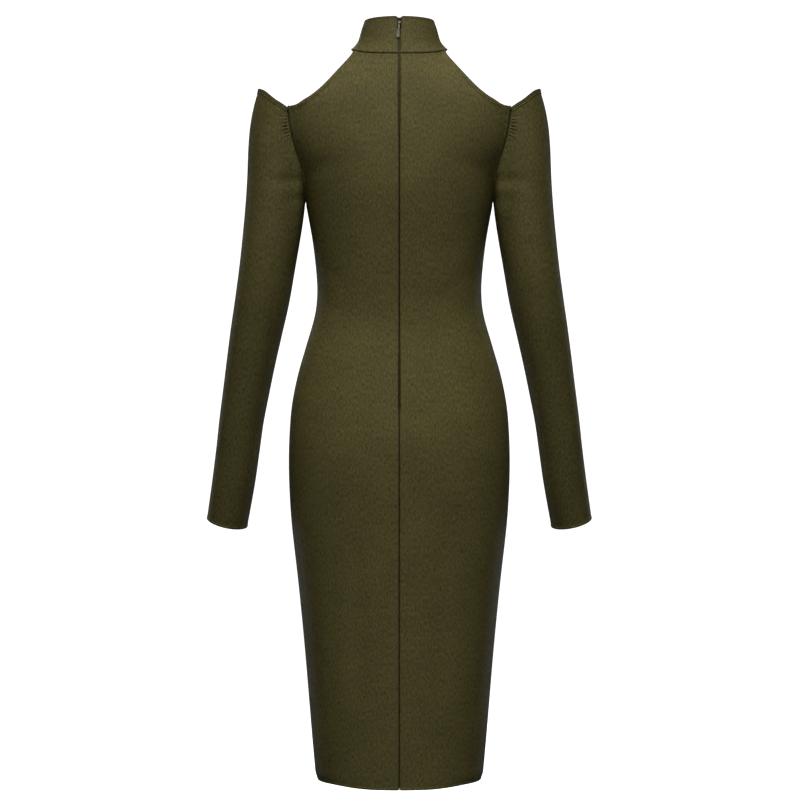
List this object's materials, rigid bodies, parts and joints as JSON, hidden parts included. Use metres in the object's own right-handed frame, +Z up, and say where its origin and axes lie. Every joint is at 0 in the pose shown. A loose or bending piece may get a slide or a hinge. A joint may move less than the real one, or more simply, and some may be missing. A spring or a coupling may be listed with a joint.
{
  "type": "bodycon dress",
  "caption": "Long-sleeved bodycon midi dress with a stand collar, bare shoulders, pointed sleeve caps and a concealed back zip, filled out as worn.",
  "frame": {"origin": "middle of the collar seam ring, at the height of the seam at the centre back, where the wearer's neck holds the dress", "axes": "+Z up, the front of the dress faces -Y, the wearer's left side is +X"},
  "size_m": [0.569, 0.2243, 1.1025],
  "materials": {
    "olive_knit": "fine dense knit with a slight satin lustre",
    "zip_tape": "woven tape, matt",
    "nickel": "polished, slightly worn"
  },
  "bodies": {
    "dress": {"back_panel_left": "olive_knit", "back_panel_right": "olive_knit", "front_panel": "olive_knit", "collar": "olive_knit", "sleeve_left": "olive_knit", "sleeve_left_forearm": "olive_knit", "sleeve_right": "olive_knit", "sleeve_right_forearm": "olive_knit", "zip_tape_left": "zip_tape", "zip_tape_right": "zip_tape", "zip_slider": "nickel"},
    "pull_tab": {"zip_pull_tab": "nickel"}
  },
  "joints": [
    {"name": "pull_tab_swing", "type": "hinge", "parent": "dress", "child": "pull_tab", "pos_m": [0, 0.0462, 0.04495], "axis": [1, 0, 0], "range_deg": [0, 150]}
  ]
}
